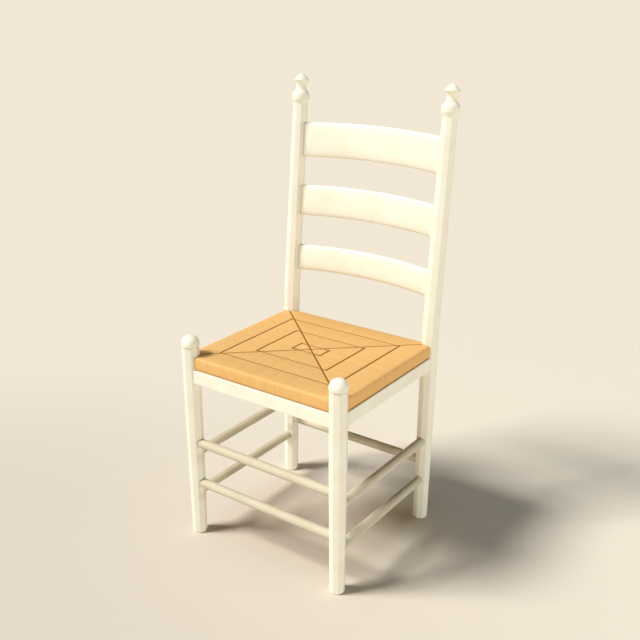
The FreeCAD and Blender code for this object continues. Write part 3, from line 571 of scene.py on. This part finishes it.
        # The mitre's own points: how far each lies from it, measured inwards along the cord
        slant = math.hypot(flank.half_rail, flank.across) / flank.half_rail
        steps = np.array(self.mitre_marks) * self.mitre_half * slant
        mitre = flank.across * (1.0 - np.abs(column) / flank.half_rail)
        close = mitre[:, None] - steps[None, :]
        beyond = line[None, :, 0] > close[:, -1:]
        reach = np.concatenate([close, np.minimum(line[None, :, 0], close[:, -1:]), close[:, ::-1]], axis=1)
        top, bottom = line[0, 1], line[-1, 1]
        level = np.concatenate([np.full(len(steps), top), line[:, 1], np.full(len(steps), bottom)])
        lean = np.concatenate([np.tile([0.0, 1.0], (len(steps), 1)), normals,
                               np.tile([0.0, -1.0], (len(steps), 1))])

        # Cords that end at a post stop at the notch round it
        lowest, highest = self.notch_limits(flank, flank.across - reach)
        position = np.clip(column[:, None], lowest, highest)
        spot = (position / flank.half_rail + 1) / 2 * self.count
        cord = np.clip(np.floor(spot + SLIVER).astype(int), 0, self.count - 1)
        cord = np.minimum(cord, self.count - 1 - cord)
        ridge = -np.abs(2 * (spot - np.round(spot - 0.5)) - 1) ** self.cord_power + self.swells[cord]

        # The channels lie in the top only, and the mitres in the top and the underside
        valley = groove((mitre[:, None] - reach) / slant, self.mitre_half)
        valley = valley * (np.abs(lean[None, :, 1]) > self.level_normal)
        channel = self.channel_share(flank, flank.across - reach, position)
        channel = channel * (lean[None, :, 1] > self.level_normal)
        ridges = self.cord_relief * ridge * (1.0 - self.channel_smoothing * channel) * (1.0 - valley)
        lift = np.minimum(ridges - np.maximum(self.channel_depth * channel, self.mitre_depth * valley), 0.0)
        inward = reach + lift * lean[None, :, 0]
        height = level[None, :] + lift * lean[None, :, 1]
        plan = position[..., None] * flank.along + (flank.across - inward)[..., None] * flank.out
        points = np.concatenate([plan + self.middle[:2], height[..., None]], axis=2)

        steps_along = np.hypot(np.diff(reach[len(column) // 2]), np.diff(level))
        twists = np.concatenate([[0.0], np.cumsum(steps_along)]) / self.finish.twist_pitch
        # Painted shade: the channels and mitres darken the rush by this share
        shade = np.maximum(channel, valley)
        values = np.stack(np.broadcast_arrays(self.tones[cord], shade, spot, twists[None, :]), axis=-1)
        quads = self.quads(beyond, len(steps), int(np.argmin(line[:, 0])))
        return points.reshape(-1, 3), quads.reshape(-1, 4), values.reshape(-1, 4)

    def columns(self, flank: Flank) -> np.ndarray:
        """Places along a rail at which its cords have points, between the ends of its two mitres.

        Args:
            flank: the side of the seat.

        Returns:
            Positions along the rail, from the seat's middle.
        """
        place = (np.arange(self.count)[:, None] + np.array(self.cord_marks)[None, :]).ravel()
        first, last = (self.count / 2 * (1 + end / flank.half_rail) for end in self.mitre_ends(flank))
        place = np.concatenate([[first], place[(place > first) & (place < last)], [last]])
        return (place / self.count * 2 - 1) * flank.half_rail

    def quads(self, beyond: np.ndarray, margin: int, edge: int) -> np.ndarray:
        """Faces of one side's grid; a row past the mitre's last point falls back on that point.

        Args:
            beyond: for each column, which points of the line lie past the mitre's last point.
            margin: how many points of the mitre come before the line, and after it.
            edge: number of the line's point at the rail's face, where the top's half ends.

        Returns:
            (n, 4) numbers of the grid's points.
        """
        beyond = np.pad(beyond, ((0, 0), (margin, margin)))
        columns, rows = beyond.shape
        over = np.arange(rows) < margin + edge
        number = np.arange(columns * rows).reshape(columns, rows)
        upper_end, lower_end = number[:, [margin - 1]], number[:, [rows - margin]]
        number = np.where(beyond & over, upper_end, np.where(beyond & ~over, lower_end, number))
        return np.stack([number[:-1, :-1], number[1:, :-1], number[1:, 1:], number[:-1, 1:]], axis=-1)

    def notch_limits(self, flank: Flank, outwards: np.ndarray) -> tuple[np.ndarray, np.ndarray]:
        """How far the cords of a rail may reach towards the posts at both its ends.

        The notch round a post is a regular octagon of radius R with corners on both axes. At a distance d
        from the post's axis, its half width is the lesser of R - d tan(22.5) and (R - d) / tan(22.5), where
        tan(22.5) is the square root of 2, less 1.

        Args:
            flank: the side of the seat.
            outwards: distance from the seat's middle towards the rail, at each point.

        Returns:
            The lowest and the highest position along the rail, at each point.
        """
        radius, slope = self.post_radius + self.post_gap, math.sqrt(2) - 1
        limits = {-1: np.full_like(outwards, -np.inf), 1: np.full_like(outwards, np.inf)}
        for node in ("front_post_left", "front_post_right", "back_post_left", "back_post_right"):
            axis = self.post_place(node) - self.middle[:2]
            if axis @ flank.out < 0:
                continue
            away = np.abs(outwards - axis @ flank.out)
            half_width = np.minimum(radius - away * slope, (radius - away) / slope)
            end = int(np.sign(axis @ flank.along))
            limits[end] = np.where(away < radius, axis @ flank.along - end * half_width, limits[end])
        return limits[-1], limits[1]

    def mitre_ends(self, flank: Flank) -> tuple[float, float]:
        """Where the two mitres of a rail reach the notches round its posts.

        Args:
            flank: the side of the seat.

        Returns:
            The two positions along the rail, from the seat's middle.
        """
        tries = np.linspace(0.0, flank.half_rail, self.mitre_tries)
        low, high = self.notch_limits(flank, tries / flank.half_rail * flank.across)
        return -float(tries[-tries >= low].max()), float(tries[tries <= high].max())

    def post_place(self, node: str) -> np.ndarray:
        """Plan of a post's axis at the height of the seat; a back post leans back from its foot to there.

        Args:
            node: name of the post.

        Returns:
            X and Y.
        """
        low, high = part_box(node)
        if node.startswith("front"):
            return np.array([(low[0] + high[0]) / 2, (low[1] + high[1]) / 2])
        foot = low[1] + self.back_foot_radius
        return np.array([(low[0] + high[0]) / 2, foot + self.middle[2] * math.tan(self.back_lean)])


@dataclass
class BentSlats:
    """The three slats, each bent to one radius and carved like a long pillow, with an upward arch.

    An end of a slat reaches to within the end gap of its post's axis. Its section turns from the pillow to
    the mortise's rectangle over the shoulder, which lies just outside the post's face.
    """

    heights: dict[str, float] = field(default_factory=lambda: {
        "top_slat": 80 * MM, "middle_slat": 73 * MM, "bottom_slat": 62 * MM})
    thickness: float = 14 * MM
    bow: float = 18 * MM
    arch: float = 7 * MM
    rake: float = math.radians(5.2)
    post_axis: float = 196.5 * MM
    end_gap: float = 3 * MM
    post_face: float = 178 * MM
    shoulder: float = 9 * MM
    mortise_round: float = 5 * MM
    pillow_power: float = 2.8
    stations: int = 73
    quarter_points: int = 14
    corner_points: int = 7

    def build(self, paint: bpy.types.Material) -> None:
        """Makes each slat in place of its CAD solid.

        Args:
            paint: the finish, with its strokes along the slats.
        """
        for node, height in self.heights.items():
            low, high = (np.array(corner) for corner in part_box(node))
            plain = self.bend(height, 0.0).reshape(-1, 3)
            shift = (low + high) / 2 - (plain.min(axis=0) + plain.max(axis=0)) / 2
            grid = self.bend(height, self.arch) + shift
            slat = mesh_object(f"carved_{node}", grid.reshape(-1, 3), self.skin(*grid.shape[:2]))
            slat.data.materials.append(paint)
            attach(slat, "root")
            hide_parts(node)
        log.info("slats: %d, arched %.0f mm", len(self.heights), self.arch / MM)

    def section(self, height: float) -> tuple[np.ndarray, np.ndarray]:
        """The slat's two cross sections, around the middle of its thickness and height.

        In the open span it is a superellipse: the square of 2y/thickness and the pillow power of 2z/height
        add up to 1. Its face is slightly crowned and its edges are softly rounded. In the mortise it is the
        rectangle with round corners that was cut there. Both are walked round from the middle of the front
        face over the top.

        Args:
            height: height of the slat.

        Returns:
            (n, 2) points of the open span's section and of the mortise's.
        """
        count = self.quarter_points
        turn = np.linspace(0.0, math.pi / 2, count)
        pillow = np.stack([-self.thickness / 2 * np.cos(turn),
                           height / 2 * np.sin(turn) ** (2 / self.pillow_power)], axis=1)
        straight = height / 2 - self.mortise_round
        walk = np.linspace(0.0, straight, count - self.corner_points)[:-1]
        corner = np.linspace(0.0, math.pi / 2, self.corner_points)
        arc = np.stack([-self.thickness / 2 + self.mortise_round * (1 - np.cos(corner)),
                        straight + self.mortise_round * np.sin(corner)], axis=1)
        block = np.concatenate([np.stack([np.full_like(walk, -self.thickness / 2), walk], 1), arc,
                                [[0.0, height / 2]]])
        return self.whole(pillow), self.whole(block)

    def whole(self, quarter: np.ndarray) -> np.ndarray:
        """Mirrors a quarter of a section into the whole.

        Args:
            quarter: (n, 2) points from the middle of the front face to the top.

        Returns:
            (4n - 4, 2) points all round.
        """
        back = quarter[-2::-1] * (-1, 1)
        upper = np.concatenate([quarter, back])
        return np.concatenate([upper, upper[-2:0:-1] * (1, -1)])

    def bend(self, height: float, arch: float) -> np.ndarray:
        """Sweeps the section along the bow.

        A station at angle a of the bow lies at x = R sin(a), set back by R cos(a) less R, where R is the
        radius of a circle through both posts that bows back by the given depth. The arch lifts it by a
        parabola that starts at the posts' faces, and the whole is tilted back by the rake.

        Args:
            height: height of the slat.
            arch: how far its middle is lifted.

        Returns:
            (stations, n, 3) grid of points.
        """
        radius = (self.post_axis ** 2 + self.bow ** 2) / (2 * self.bow)
        reach = math.asin((self.post_axis - self.end_gap) / radius)
        angle = np.linspace(-reach, reach, self.stations)[:, None]
        pillow, block = self.section(height)
        inset = self.post_face - np.abs(radius * np.sin(angle))
        open_share = np.clip(inset / self.shoulder, 0.0, 1.0)
        open_share = (open_share * open_share * (3 - 2 * open_share))[..., None]
        section = block[None] * (1 - open_share) + pillow[None] * open_share
        across = radius + section[..., 0]
        side, depth = across * np.sin(angle), across * np.cos(angle) - radius
        lift = arch * np.clip(1 - (radius * np.sin(angle) / self.post_face) ** 2, 0.0, 1.0)
        level = section[..., 1] + lift
        return np.stack([side, depth * math.cos(self.rake) + level * math.sin(self.rake),
                         level * math.cos(self.rake) - depth * math.sin(self.rake)], axis=-1)

    def skin(self, stations: int, points: int) -> list[list[int]]:
        """Quads round the swept grid, and a flat cap at each end.

        Args:
            stations: sections along the slat.
            points: points of one section.

        Returns:
            Corner numbers of each face.
        """
        number = np.arange(stations * points).reshape(stations, points)
        after = np.roll(number, -1, axis=1)
        quads = np.stack([number[:-1], number[1:], after[1:], after[:-1]], axis=-1)
        return quads.reshape(-1, 4).tolist() + [number[0].tolist(), number[-1, ::-1].tolist()]


@dataclass
class PaintedFrame:
    """Posts, slats, rails, stretchers, knobs and finials in their paint; the thin stretchers are duller."""

    finish: CreamPaint = field(default_factory=CreamPaint)
    dull_finish: CreamPaint = field(default_factory=lambda: CreamPaint(
        name="beige_enamel", tone="CAC1A7", thin_tone="C6BB9E", roughness=0.62, shine=0.22))
    slats: BentSlats = field(default_factory=BentSlats)
    upright: tuple[str, ...] = ("front_post_left", "front_post_right", "back_post_left", "back_post_right",
                                "front_knob_left", "front_knob_right",
                                "back_finial_left", "back_finial_right")
    across: tuple[str, ...] = ("top_slat", "middle_slat", "bottom_slat", "front_rail", "back_rail")
    lengthwise: tuple[str, ...] = ("left_rail", "right_rail")
    dull_across: tuple[str, ...] = ("front_stretcher_upper", "front_stretcher_lower", "back_stretcher")
    dull_lengthwise: tuple[str, ...] = ("left_stretcher_upper", "left_stretcher_lower",
                                        "right_stretcher_upper", "right_stretcher_lower")

    def dress(self, nodes: dict[str, bpy.types.Object]) -> None:
        """Gives each painted piece the paint whose strokes run along it, and makes the slats.

        Args:
            nodes: the CAD nodes by name.
        """
        cream = {grain: self.finish.build(grain) for grain in Grain}
        dull = {grain: self.dull_finish.build(grain) for grain in (Grain.ALONG_X, Grain.ALONG_Y)}
        for material, names in ((cream[Grain.ALONG_Z], self.upright), (cream[Grain.ALONG_X], self.across),
                                (cream[Grain.ALONG_Y], self.lengthwise),
                                (dull[Grain.ALONG_X], self.dull_across),
                                (dull[Grain.ALONG_Y], self.dull_lengthwise)):
            for name in names:
                put_on(nodes[name], material)
            log.info("%s: %d pieces", material.name, len(names))
        self.slats.build(cream[Grain.ALONG_X])


@dataclass
class HiddenWork:
    """The seat's bare inner frame, and the blocks and screws that hold it from below."""

    wood: PlanedWood = field(default_factory=PlanedWood)
    steel: ZincSteel = field(default_factory=ZincSteel)

    def dress(self, nodes: dict[str, bpy.types.Object]) -> None:
        """Gives the blocks and the seat's frame bare wood, and the screws their zinc.

        Args:
            nodes: the CAD nodes by name.
        """
        wood = self.wood.build()
        bare = [name for name in nodes if name.startswith(("corner_block", "seat_bar"))]
        for name in bare:
            put_on(nodes[name], wood)
        put_on(nodes["seat_screws"], self.steel.build())
        log.info("bare wood: %d pieces", len(bare))


@dataclass(frozen=True)
class Lamp:
    """A far light: where it stands round the chair, how strong it is, how wide it looks and its colour.

    Angles are in degrees.
    """

    azimuth: float
    elevation: float
    strength: float
    spread: float
    tone: str = "FFFFFF"

    def towards(self) -> Vector:
        """Direction from the chair to the light; the azimuth counts from +X towards +Y."""
        turn, rise = math.radians(self.azimuth), math.radians(self.elevation)
        return Vector((math.cos(turn) * math.cos(rise), math.sin(turn) * math.cos(rise), math.sin(rise)))


@dataclass
class Studio:
    """A pale floor without an edge, a key light from the front left, soft fills and the camera.

    The key gives the broad shadow towards the back right, and a large soft box straight above, with a weak
    one at the left, keeps it from going black. White screens at floor height light the upright faces: a
    strong fan of them from the camera's side to the right, and a weaker one at the left. A fan is given by
    its first and last azimuth and the strength of each screen. A faint shadow is painted on the floor before
    the chair's left foot.
    """

    camera_place: tuple[float, float, float] = (1.0799, -1.5041, 1.2099)
    camera_target: tuple[float, float, float] = (0.0030, 0.0028, 0.5107)
    lens: float = 50.0
    sensor: float = 36.0
    sight: float = 1000.0
    floor_tone: str = "E3D8C5"
    # A faint shadow painted on the floor before the chair's left foot: its tone, its middle, and the
    # distances over which it fades out
    painted_shadow_tone: str = "D5CAB9"
    painted_shadow_place: tuple[float, float, float] = (-0.35, -0.75, 0.0)
    painted_shadow_reach: tuple[float, float] = (0.40, 1.50)
    backdrop: str = "F2E8D5"
    floor_half: float = 400.0
    sky: float = 0.02
    lamps: tuple[Lamp, ...] = (
        Lamp(azimuth=223.5, elevation=48.4, strength=3.94, spread=19.0),
        Lamp(azimuth=0.0, elevation=90.0, strength=0.60, spread=40.0, tone="ECF6FF"),
        Lamp(azimuth=180.0, elevation=65.0, strength=0.08, spread=32.0, tone="ECF6FF"))
    screen_step: float = 15.0
    screen_rise: float = 0.8
    screen_spread: float = 1.4
    screens: tuple[tuple[float, float, float], ...] = ((-75.0, 45.0, 0.235), (120.0, 195.0, 0.11))

    def build(self) -> None:
        """Makes the camera, the floor, the sky and the lights."""
        self.place_camera()
        self.lay_floor()
        self.set_sky()
        for lamp in self.lamps:
            self.add_sun(lamp)
        for first, last, strength in self.screens:
            for azimuth in np.arange(first, last + 1.0, self.screen_step):
                self.add_sun(Lamp(float(azimuth), self.screen_rise, strength, self.screen_spread))
        bpy.context.scene.view_settings.view_transform = "Standard"

    def place_camera(self) -> None:
        """Puts the camera at the photograph's viewing angle."""
        data = bpy.data.cameras.new("camera")
        data.lens, data.sensor_width, data.sensor_fit = self.lens, self.sensor, "HORIZONTAL"
        data.clip_end = self.sight
        camera = bpy.data.objects.new("camera", data)
        bpy.context.scene.collection.objects.link(camera)
        camera.location = self.camera_place
        look = Vector(self.camera_target) - Vector(self.camera_place)
        camera.rotation_euler = look.to_track_quat("-Z", "Y").to_euler()
        bpy.context.scene.camera = camera

    def lay_floor(self) -> None:
        """A wide matte floor that runs out of sight, with a faint shadow painted on it before the chair's
        left foot.
        """
        corners = np.array([(-1, -1, 0), (1, -1, 0), (1, 1, 0), (-1, 1, 0)]) * self.floor_half
        floor = mesh_object("floor", corners, [[0, 1, 2, 3]])
        material, tree = new_material("matte_floor")
        place = add_node(tree, "TexCoord").outputs["Object"]
        # Painted shadow: the floor's tone darkens towards a place before the chair's left foot and fades out
        # over the given reach
        away = add_node(tree, "VectorMath", {0: place, 1: self.painted_shadow_place}, operation="DISTANCE")
        share = add_node(tree, "MapRange", {"Value": away.outputs["Value"], "From Min": self.painted_shadow_reach[0],
                                            "From Max": self.painted_shadow_reach[1]}, interpolation_type="SMOOTHSTEP")
        colour = add_node(tree, "Mix", {"Factor": share.outputs[0], "A": linear(self.painted_shadow_tone),
                                        "B": linear(self.floor_tone)}, data_type="RGBA")
        shader = add_node(tree, "BsdfDiffuse", {"Color": colour.outputs[2]})
        close_surface(tree, shader)
        floor.data.materials.append(material)

    def set_sky(self) -> None:
        """Even light from everywhere, and the backdrop's colour where the camera looks past the floor."""
        world = bpy.data.worlds.new("studio_air")
        world.use_nodes = True
        tree = world.node_tree
        tree.nodes.clear()
        air = add_node(tree, "Background", {"Color": (1.0, 1.0, 1.0, 1.0), "Strength": self.sky})
        seen = add_node(tree, "Background", {"Color": linear(self.backdrop), "Strength": 1.0})
        path = add_node(tree, "LightPath")
        choice = add_node(tree, "MixShader", {0: path.outputs["Is Camera Ray"], 1: air.outputs[0],
                                              2: seen.outputs[0]})
        add_node(tree, "OutputWorld", {"Surface": choice.outputs[0]})
        bpy.context.scene.world = world

    def add_sun(self, lamp: Lamp) -> None:
        """Adds one far, broad light.

        Args:
            lamp: where it stands, and how it shines.
        """
        data = bpy.data.lights.new("lamp", "SUN")
        data.energy, data.angle, data.color = lamp.strength, math.radians(lamp.spread), linear(lamp.tone)[:3]
        light = bpy.data.objects.new("lamp", data)
        light.rotation_euler = lamp.towards().to_track_quat("Z", "Y").to_euler()
        bpy.context.scene.collection.objects.link(light)


def main() -> None:
    """Builds the studio and dresses the chair."""
    logging.basicConfig(level=logging.INFO, format="%(name)s: %(message)s")
    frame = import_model()
    Studio().build()
    PaintedFrame().dress(frame["nodes"])
    HiddenWork().dress(frame["nodes"])
    RushSeat().build()


if __name__ == "__main__":
    main()
